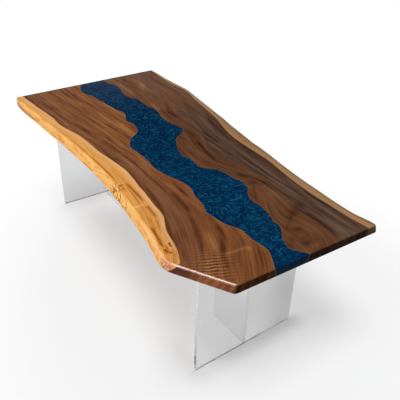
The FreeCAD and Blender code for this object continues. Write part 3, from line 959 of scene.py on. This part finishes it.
def woodFinish(wood):
    look = woodLook
    finish = Finish(bpy.data.materials.new(wood["name"]))
    along, across, depth = finish.parts(finish.field("grain", "Vector"))
    place = finish.parts(finish.objectPlace())
    x = place[0]
    wander = grainNoise(finish, along, across, depth, "wander")
    wobble = grainNoise(finish, along, across, depth, "wobble")
    flow = across + (wander - 0.5) * look["wander"] + (wobble - 0.5) * look["wobble"]
    kinds = ("broad", "middle", "narrow", "fibre", "lines", "pores", "veins", "stain")
    made = [grainNoise(finish, along, flow, depth, kind) for kind in kinds]
    broad, middle, narrow, fibre, lines, pores, veins, stain = made
    figure = finish.field("tone")
    outer = finish.field("outer")
    sapwood = finish.field("sapwood")
    ripple = curlRipple(finish, x, place[1])

    # heartwood: streaks from broad to fine, dark lines and pores, and a mauve tinge
    tone = (broad - 0.5) * look["broad"] + (middle - 0.5) * look["middle"]
    tone = tone + (narrow - 0.5) * look["narrow"] + (fibre - 0.5) * look["fibre"]
    far, near = wood["detail"]
    tone = tone * (far + x.step(*look["detailFade"]) * (near - far)) + 0.5
    tone = tone + figure * wood["figure"] + ripple * curl["tone"]
    tone = (tone - lines * look["lines"] - pores * look["pores"]).bounded()
    coolness = (finish.field("cool") * (0.35 + broad * 0.8)).bounded()
    heart = finish.mix(finish.ramp(tone, wood["heart"]), finish.ramp(tone, wood["cool"]), coolness)
    heart = finish.mix(heart, wood["wallHeart"], outer * (0.15 + figure.step(-0.9, 0.0) * 0.45))

    # sapwood: paler, with lines that follow the live edge, and brightest on the wall, which is stained in
    # places and brown at its foot
    sapTone = look["sapTone"] + (middle - 0.5) * look["sapMiddle"] + (narrow - 0.5) * look["sapFine"]
    sapTone = sapTone + (fibre - 0.5) * look["sapFibre"] + figure * look["sapFigure"]
    sap = finish.ramp((sapTone - veins * finish.field("veins") * look["sapVeins"]).bounded(), wood["sap"])
    pale = look["pale"] - x.step(*look["paleFade"]) * wood["paleFade"]
    sap = finish.mix(sap, wood["paleSap"], (1 - sapwood.step(*look["paleDepth"])) * pale)
    sapWall = finish.field("sapWall")
    sap = finish.mix(sap, wood["outerSap"], sapWall * look["outerSap"])
    sap = finish.mix(sap, wood["stain"], stain * sapWall * look["stain"])
    foot = depth.step(*look["footFade"]) * finish.field("foot") * (0.70 + stain * 0.30)
    sap = finish.mix(sap, wood["foot"], foot)
    ragged = sapwood + (wander - 0.5) * look["sapWander"] + (narrow - 0.5) * look["sapNarrow"]
    isSap = ragged.step(-wood["sapBlend"], wood["sapBlend"])
    colour = finish.mix(heart, sap, isSap)
    grooves = narrow * 0.5 + fibre * 0.35 - pores * 0.6 + ripple * 1.6
    if wood["marked"]:
        colour, knotHeight = addMarks(finish, colour, place, outer, sapwood)
        grooves = grooves + knotHeight

    # edges: redder by the river, a speckled rim, which on the back slab is painted shade, painted shade along
    # the far end's top edge, a highlight painted on the round-over, and end grain that oil darkens
    shore = 1 - finish.field("shore").step(*look["shoreFade"])
    colour = finish.mix(colour, wood["shoreEdge"], shore * look["shoreEdge"])
    speckle = finish.noise(260, 2).step(0.35, 0.60)
    colour = finish.mix(colour, wood["rim"], (finish.field("rim") * (0.45 + speckle * 0.75)).bounded())
    colour = finish.mix(colour, wood["farRim"], finish.field("farRim"))
    # A highlight painted into the colour on the round-over, which also raises the coat
    bright = finish.field("bright")
    colour = finish.mix(colour, look["bright"], bright * look["paintedHighlightStrength"])
    endFace = finish.field("endFace")
    colour = finish.mix(colour, (0, 0, 0), endFace * (1 - wood["end"] - isSap * 0.10))
    coat = (0.4 - outer * 0.25 + bright) * (1 - endFace)
    return finish.done(finish.surface(
        Base_Color=colour, Roughness=0.34 + (fibre - 0.5) * 0.12 + pores * 0.15 + endFace * 0.15,
        Normal=finish.bump(grooves, look["grooveDepth"], 0.7), IOR=1.2, Specular_IOR_Level=0.05,
        Coat_Weight=coat.bounded(), Coat_Roughness=0.075
    ))


# Resin: deep blue with pearl brush strokes, short and bent, in drifts. A stroke layer has one stroke in
# each cell: its cell size, strength and offset. A stroke's half length, half width and bow are in cells.
# Strokes turn with a slow swirl and at random, show on the walls by a slope, and fade at the near end.
resin = {
    "deep": (0.0006, 0.011, 0.038),
    "body": (0.0009, 0.021, 0.059),
    "stroke": (0.0105, 0.150, 0.290),
    "endFace": (0.001, 0.012, 0.022),
    "endStrength": 0.8,
    "layers": [(0.038, 0.9, 0.0), (0.031, 0.9, 5.3), (0.025, 0.8, 11.7), (0.019, 0.6, 17.1)],
    "shape": (0.60, 0.100, 0.55),
    "swirl": 0.110,
    "swirlTurn": 9,
    "randomTurn": 1.3,
    "slope": (0.6, 0.8),
    "drift": 0.060,
    "nearFade": (1.09, 1.19),
    "nearFadeStrength": 0.6,
}


# One layer of strokes: each is an ellipse round its cell's middle, turned by the swirl and at random
def strokeLayer(finish, x, y, swirl, layer):
    size, strength, offset = layer
    place = finish.joined(x / size + offset, y / size - offset, 0)
    cell = finish.cells(place, {"voronoi_dimensions": "2D"}, "Position")
    chance, spin, _ = finish.parts(cell.output("Color"))
    across = finish.node("ShaderNodeVectorMath", {"operation": "SUBTRACT"}, {0: place, 1: cell})
    dx, dy, _ = finish.parts(across)
    angle = swirl * resin["swirlTurn"] + (spin - 0.5) * resin["randomTurn"]
    turnX = angle.calc("COSINE")
    turnY = angle.calc("SINE")
    halfLength, halfWidth, bow = resin["shape"]
    u = dx * turnX + dy * turnY
    v = dy * turnX - dx * turnY + u * u * bow
    stroke = (1 - (u / halfLength) ** 2 - (v / halfWidth) ** 2).bounded()
    return stroke * (0.35 + chance * 0.65) * strength


def resinFinish():
    finish = Finish(bpy.data.materials.new("pearl_blue_resin"))
    x, y, z = finish.parts(finish.objectPlace())
    swirl = finish.noise(1 / resin["swirl"], 1)
    slopeX = x + z * resin["slope"][0]
    slopeY = y + z * resin["slope"][1]
    strokes = largest([strokeLayer(finish, slopeX, slopeY, swirl, layer) for layer in resin["layers"]])
    drift = finish.noise(1 / resin["drift"], 3).step(0.30, 0.70)
    body = finish.mix(resin["deep"], resin["body"], (drift * 0.9 + x * 0.25).bounded())
    nearEnd = 1 - x.step(*resin["nearFade"]) * resin["nearFadeStrength"]
    strokes = strokes * (0.46 + drift * 0.38 + x * 0.10) * nearEnd
    colour = finish.mix(body, resin["stroke"], strokes.bounded())
    endFace = finish.field("endFace")
    colour = finish.mix(colour, resin["endFace"], endFace * resin["endStrength"])
    roughness = 0.08 + finish.noise(14, 2) * 0.06
    return finish.done(finish.surface(
        Base_Color=colour, Roughness=roughness, IOR=1.2, Specular_IOR_Level=0.05,
        Coat_Weight=0.5 * (1 - endFace), Coat_Roughness=0.06
    ))


print("finishes ready")


def finishPiece(piece, material, nodes):
    piece.data.materials.clear()
    piece.data.materials.append(material)
    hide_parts(*nodes)
    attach(piece, "root")


def makeSlab(name, slab, wood):
    edge = liveCurtain(slab)
    shore = shoreCurtain(slab["side"], edge[:, :, 0])
    front, back = (edge, shore) if slab["side"] < 0 else (shore, edge)
    piece = closedBlock(name, front, back, top["topPoints"])
    addWoodFields(piece.data, slab)
    finishPiece(piece, woodFinish(wood), [slab["node"]])
    print(name, "has", len(piece.data.vertices), "points")


def makeRiver():
    count, rows = top["riverPoints"]
    insets = wallLevels(np.full((1, 1), top["upperRadius"]))[1]
    x = (top["halfLength"] - insets) * np.linspace(-1, 1, count)[None, :]
    piece = closedBlock("resin_river", shoreCurtain(-1, x), shoreCurtain(1, x), rows)
    x = vertexRows(piece.data, "co")[:, 0]
    endFace = endFaceField(x, vertexRows(piece.data, "normal"))
    # The resin's end faces darken, and it takes the far rim's painted shade as well
    setField(piece.data, "endFace", np.maximum(endFace, farRimShadeField(x)))
    finishPiece(piece, resinFinish(), ["epoxy_river"])
    print("resin_river has", len(piece.data.vertices), "points")


makeSlab("front_slab", frontSlab, frontWood)
makeSlab("back_slab", backSlab, backWood)
makeRiver()


# Clear bases: the frame's panels with polished edges. The stem stops a hair short of the cross panel, so
# that the bonded joint shows as a bright line. A tint is what passes through. The stem's tint is the
# plastic's own; the cross panels' tints are painted shade: three run along +Y, and a cross panel has others
# at its foot, where the near one is painted lighter. The clear values are how far a face lets light
# straight on.
acrylic = {
    "jointGap": 0.0003,
    "polish": 0.0005,
    "polishSteps": 2,
    "stemTint": (0.965, 0.97, 0.975),
    # The cross panels' tints are painted shade, lighter at the near panel's foot
    "nearTint": [(0.91, 0.915, 0.92), (0.84, 0.845, 0.85), (0.60, 0.605, 0.61)],
    "nearFootTint": [(0.95, 0.955, 0.96), (0.98, 0.982, 0.985), (0.71, 0.715, 0.72)],
    "farTint": [(0.715, 0.72, 0.725), (0.68, 0.685, 0.69), (0.70, 0.705, 0.71)],
    "farFootTint": [(0.68, 0.685, 0.69), (0.65, 0.655, 0.66), (0.71, 0.715, 0.72)],
    "tintPlaces": (-0.11, -0.07, -0.05),
    "footFade": 0.30,
    "straightTint": (0.89, 0.895, 0.90),
    "shadowTint": (0.70, 0.705, 0.71),
    "deepest": 2.5,
    "endFace": 0.0017,
    "endClear": 0.85,
    "bondClear": 0.5,
    "crossFootClear": 0.25,
    "crossFootFade": (-0.05, 0.15),
    "footFace": 0.0027,
    "nearTurn": math.atan2(0.0363, 0.670),
    "farTurn": math.pi,
}


# Clear plastic. Light goes straight on where "straight" is 1, and where it has been turned several times
# already, so that the edges stay bright. Light that casts shadows always does.
def clearPlastic(finish, shade, straight):
    haze = finish.noise(9, 3).step(0.5, 0.8)
    wipe = finish.noise(60, 2)
    roughness = 0.001 + haze * 0.004 + wipe * 0.001
    glass = finish.surface(Base_Color=shade, Roughness=roughness, IOR=1.49, Transmission_Weight=1.0)
    clear = finish.node("ShaderNodeBsdfTransparent", {}, {"Color": acrylic["straightTint"]})
    dim = finish.node("ShaderNodeBsdfTransparent", {}, {"Color": acrylic["shadowTint"]})
    shadowRay = finish.node("ShaderNodeLightPath", {}, {}, "Is Shadow Ray")
    deep = shadowRay.output("Ray Depth").calc("GREATER_THAN", acrylic["deepest"])
    body = finish.mixShader(glass, clear, (straight + deep).bounded())
    return finish.done(finish.mixShader(body, dim, shadowRay))


# A tint of painted shade that changes along Y between three colours
def paintedShadeAlong(finish, y, tints, last):
    first, second, third = acrylic["tintPlaces"]
    shade = finish.mix(tints[0], tints[1], y.step(first, second))
    return finish.mix(shade, tints[2], y.step(third, last))


# The cross panel has a tint of painted shade along its top and one along its foot, and partly clear
# ends and foot
def crossFinish(end):
    low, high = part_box(end + "_cross_panel")
    finish = Finish(bpy.data.materials.new(end + "_cross_acrylic"))
    _, y, z = finish.parts(finish.objectPlace())
    upper = paintedShadeAlong(finish, y, acrylic[end + "Tint"], high.y)
    lower = paintedShadeAlong(finish, y, acrylic[end + "FootTint"], high.y)
    shade = finish.mix(lower, upper, z.step(0.0, acrylic["footFade"]))
    face = acrylic["endFace"]
    ends = y.calc("LESS_THAN", low.y + face) + y.calc("GREATER_THAN", high.y - face)
    foot = z.calc("LESS_THAN", acrylic["footFace"]) * y.step(*acrylic["crossFootFade"])
    return clearPlastic(finish, shade, ends * acrylic["endClear"] + foot * acrylic["crossFootClear"])


# The stem panel is clear at its foot and partly so at the bonded joint
def stemFinish(end, outward, reach):
    finish = Finish(bpy.data.materials.new(end + "_stem_acrylic"))
    x, y, z = finish.parts(finish.objectPlace())
    along = x * outward[0] + y * outward[1]
    bonded = along.calc("GREATER_THAN", reach - acrylic["endFace"])
    foot = z.calc("LESS_THAN", acrylic["footFace"])
    return clearPlastic(finish, acrylic["stemTint"], foot + bonded * acrylic["bondClear"])


# A merged copy of a frame node's mesh, with its flat faces whole again
def wholeCopy(name, node):
    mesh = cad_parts[node].data.copy()
    shell = bmesh.new()
    shell.from_mesh(mesh)
    bmesh.ops.remove_doubles(shell, verts=shell.verts, dist=top["weld"])
    flat = math.radians(0.5)
    bmesh.ops.dissolve_limit(shell, angle_limit=flat, verts=shell.verts, edges=shell.edges)
    shell.to_mesh(mesh)
    shell.free()
    return addObject(name, mesh)


def makePanels(end):
    turn = acrylic[end + "Turn"]
    outward = np.array([math.cos(turn), math.sin(turn), 0])
    for which in ("cross", "stem"):
        node = end + "_" + which + "_panel"
        piece = wholeCopy(end + "_" + which + "_clear", node)
        if which == "stem":
            places = vertexRows(piece.data, "co")
            reach = places @ outward
            places[reach > reach.max() - acrylic["polish"]] -= outward * acrylic["jointGap"]
            piece.data.vertices.foreach_set("co", places.astype(np.float32).ravel())
            material = stemFinish(end, outward.tolist(), float((places @ outward).max()))
        else:
            material = crossFinish(end)
        piece.data.shade_smooth()
        piece.data.set_sharp_from_angle(angle=math.radians(30))
        bevel = piece.modifiers.new("polish", "BEVEL")
        bevel.width = acrylic["polish"]
        bevel.segments = acrylic["polishSteps"]
        bevel.limit_method = "ANGLE"
        bevel.angle_limit = math.radians(35)
        bevel.harden_normals = True
        finishPiece(piece, material, [node])


# The grey strips under the panels. Each kind's pair of alphas is for its rims and its faces. The rim is
# between two heights, and a face fades in along the near cross panel.
strip = {
    "colour": (0.34, 0.342, 0.345),
    "side": (0.20, 0.202, 0.205),
    "low": 0.0003,
    "high": 0.0016,
    "near_cross": (1.0, 0.36),
    "far_cross": (1.0, 0.55),
    "stem": (0.12, 0.05),
    "fade": 0.10,
    "fadeStart": 0.3,
}


def stripFinish(name, alphas, start):
    finish = Finish(bpy.data.materials.new(name))
    _, y, z = finish.parts(finish.objectPlace())
    grain = finish.noise(900, 2)
    rim = z.step(0.0, strip["low"]) * (1 - z.step(strip["high"], strip["high"] + strip["low"]))
    colour = finish.mix(strip["colour"], strip["side"], (grain.step(0.45, 0.7) * 0.4 + rim * 0.6).bounded())
    face = alphas[1]
    if start is not None:
        share = strip["fadeStart"]
        face = (share + y.step(start, start + strip["fade"]) * (1 - share)) * alphas[1]
    return finish.done(finish.surface(
        Base_Color=colour, Roughness=0.65 + grain * 0.1, Normal=finish.bump(grain, 0.0001, 0.5),
        Alpha=face + rim * (alphas[0] - face)
    ))


# Metals: colour, how often the brushing changes along x, y and z, and roughness
metals = {
    "brushed_bracket_steel": ((0.60, 0.60, 0.61), (30, 2200, 2200), 0.38),
    "turned_fastener_steel": ((0.68, 0.68, 0.67), (900, 900, 900), 0.28),
    "machined_brass": ((0.72, 0.52, 0.22), (60, 60, 2600), 0.32),
}


def brushedFinish(name):
    colour, often, roughness = metals[name]
    finish = Finish(bpy.data.materials.new(name))
    x, y, z = finish.parts(finish.objectPlace())
    lines = finish.noise(1, 2, 0.6, finish.joined(x * often[0], y * often[1], z * often[2]))
    patch = finish.noise(40, 2)
    tone = finish.mix(colour, [part * 0.7 for part in colour], lines * 0.5)
    return finish.done(finish.surface(
        Base_Color=tone, Metallic=1.0, Roughness=roughness + (lines - 0.5) * 0.15 + (patch - 0.5) * 0.12,
        Normal=finish.bump(lines, 0.00004, 0.4)
    ))


# Frame nodes that keep their shape get the finish whose word is in their name
def dressNodes():
    fastener = brushedFinish("turned_fastener_steel")
    rules = {
        "bracket": brushedFinish("brushed_bracket_steel"),
        "bolts": fastener,
        "nuts": fastener,
        "washers": fastener,
        "screws": fastener,
        "inserts": brushedFinish("machined_brass"),
        "stem_foot_strip": stripFinish("clear_foot_strip", strip["stem"], None),
        "near_cross_foot_strip": stripFinish(
            "near_grey_foot_strip", strip["near_cross"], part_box("near_cross_panel")[0].y
        ),
        "far_cross_foot_strip": stripFinish("far_grey_foot_strip", strip["far_cross"], None),
    }
    for node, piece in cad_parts.items():
        for word, material in rules.items():
            if word in node:
                piece.data.materials.clear()
                piece.data.materials.append(material)


makePanels("near")
makePanels("far")
dressNodes()
print("bases and hardware dressed")


# Studio: a pale floor that fades into a white background, and two wide suns, one overhead and one from the
# -Y side. A card shows in gloss alone. "shadowLift" is how much of the floor is white of its own, so that
# shadows stay pale; the floor has less of it by the cross panels and by the near base's left corner, which
# is painted shadow.
studio = {
    "floorReach": 14.0,
    "floorDrop": 0.0002,
    "floorColour": (0.828, 0.835, 0.842),
    "floorSpeck": (0.800, 0.803, 0.810),
    "fadeCentre": (1.1, 0.0),
    "fadeSquash": 0.45,
    "fadeFrom": 1.0,
    "fadeTo": 1.81,
    "shadowLift": 0.485,
    "cornerShade": (0.93, -0.47, 0.26, 0.32),
    "cornerEnd": (-0.42, -0.34),
    "footShade": {"near": (0.62, 0.14, acrylic["nearTurn"]), "far": (0.45, 0.16, 0.0)},
    "ceiling": (0.01, 0.01, 0.011),
    "ceilingFade": (0.20, 0.44),
    "ceilingDeepest": 2.5,
    "ambient": 0.44,
    "overhead": ((-0.07, 0.165, -1), 1.80, 27),
    "side": ((0.10, 1.0, -0.10), 0.88, 50),
    "sunHeight": 4,
    "cardPlace": (1.33, -2.65, 2.85),
    "cardTarget": (1.06, -0.46, 0.75),
    "cardSize": (1.5, 1.8),
    "cardPower": 130,
}
white = (1, 1, 1)


# Painted shadow of a cross panel on the floor on its +X side: most at its foot, and less with distance
def footShade(x, y, end):
    low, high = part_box(end + "_cross_panel")
    strength, reach, turn = studio["footShade"][end]
    dx = x - (low.x + high.x) / 2
    dy = y - (low.y + high.y) / 2
    ahead = dx * math.cos(turn) + dy * math.sin(turn)
    aside = (dy * math.cos(turn) - dx * math.sin(turn)).calc("ABSOLUTE")
    half = (high.y - low.y) / 2
    shade = ahead.step(-0.01, 0.01) * (1 - ahead.step(0.01, reach))
    shade = shade * (1 - aside.step(half - 0.04, half + 0.12))
    return shade * (strength * studio["shadowLift"])


def addFloor():
    line = np.linspace(-studio["floorReach"], studio["floorReach"], 9)
    u, v = np.meshgrid(line, line)
    points = np.stack([u, v, 0 * u - studio["floorDrop"]], -1).reshape(-1, 3)
    mesh = bpy.data.meshes.new("floor")
    mesh.from_pydata(points, [], gridFaces(9, 9, 0))
    floor = addObject("floor", mesh)
    finish = Finish(bpy.data.materials.new("studio_floor"))
    x, y, _ = finish.parts(finish.objectPlace())
    paper = finish.noise(220, 2)
    shade = finish.mix(studio["floorColour"], studio["floorSpeck"], paper * 0.3)
    matt = finish.surface(Base_Color=shade, Roughness=0.9, Specular_IOR_Level=0.1)
    glow = finish.node("ShaderNodeEmission", {}, {"Color": white, "Strength": 1.0})
    rays = finish.node("ShaderNodeLightPath", {}, {}, "Is Camera Ray")
    seen = (rays + rays.output("Is Glossy Ray") + rays.output("Is Transmission Ray")).bounded()
    dx = x - studio["fadeCentre"][0]
    dy = y - studio["fadeCentre"][1]
    fade = (dx * dx * studio["fadeSquash"] + dy * dy).calc("SQRT").step(studio["fadeFrom"], studio["fadeTo"])
    cornerX, cornerY, strength, reach = studio["cornerShade"]
    aside = ((x - cornerX) ** 2 + (y - cornerY) ** 2).calc("SQRT")
    held = studio["shadowLift"] - footShade(x, y, "near") - footShade(x, y, "far")
    # Painted shadow by the near base's left corner
    held = held - (1 - aside.step(0.0, reach)) * (1 - y.step(*studio["cornerEnd"])) * strength
    lift = (held + fade * (1 - studio["shadowLift"])) * seen
    mesh.materials.append(finish.done(finish.mixShader(matt, glow, lift)))


def aimed(place, aim):
    return Matrix.Translation(place) @ Vector(aim).to_track_quat("-Z", "Y").to_matrix().to_4x4()


# A far lamp of even light: its aim, strength, and spread in degrees
def addSun(name):
    aim, strength, spread = studio[name]
    lamp = bpy.data.lights.new(name, "SUN")
    lamp.energy = strength
    lamp.angle = math.radians(spread)
    addObject(name, lamp).matrix_world = aimed((0, 0, studio["sunHeight"]), aim)


# A lamp that shows only in gloss, as a bright card does
def addCard():
    lamp = bpy.data.lights.new("edge_card", "AREA")
    lamp.shape = "RECTANGLE"
    lamp.size, lamp.size_y = studio["cardSize"]
    lamp.energy = studio["cardPower"]
    holder = addObject("edge_card", lamp)
    place = Vector(studio["cardPlace"])
    holder.matrix_world = aimed(place, Vector(studio["cardTarget"]) - place)
    holder.visible_diffuse = False


# The background is white to the camera and through the clear panels. Mirror-like reflections see it white
# near the horizon and dim overhead, as a studio's ceiling is.
def addWorld():
    world = bpy.data.worlds.new("studio")
    bpy.context.scene.world = world
    finish = Finish(world)
    rays = finish.node("ShaderNodeLightPath", {}, {}, "Is Camera Ray")
    _, _, z = finish.parts(finish.node("ShaderNodeTexCoord", {}, {}, "Generated"))
    first = rays.output("Ray Depth").calc("LESS_THAN", studio["ceilingDeepest"])
    mirrored = finish.mix(white, studio["ceiling"], z.step(*studio["ceilingFade"]) * first)
    lit, gloss, plain = [
        finish.node("ShaderNodeBackground", {}, {"Color": colour, "Strength": strength})
        for colour, strength in ((white, studio["ambient"]), (mirrored, 1), (white, 1))
    ]
    shown = finish.mixShader(lit, gloss, rays.output("Is Glossy Ray"))
    shown = finish.mixShader(shown, plain, (rays + rays.output("Is Transmission Ray")).bounded())
    finish.done(shown, "ShaderNodeOutputWorld")


addFloor()
addSun("overhead")
addSun("side")
addCard()
addWorld()
bpy.context.scene.view_settings.view_transform = "Standard"
print("studio lit")
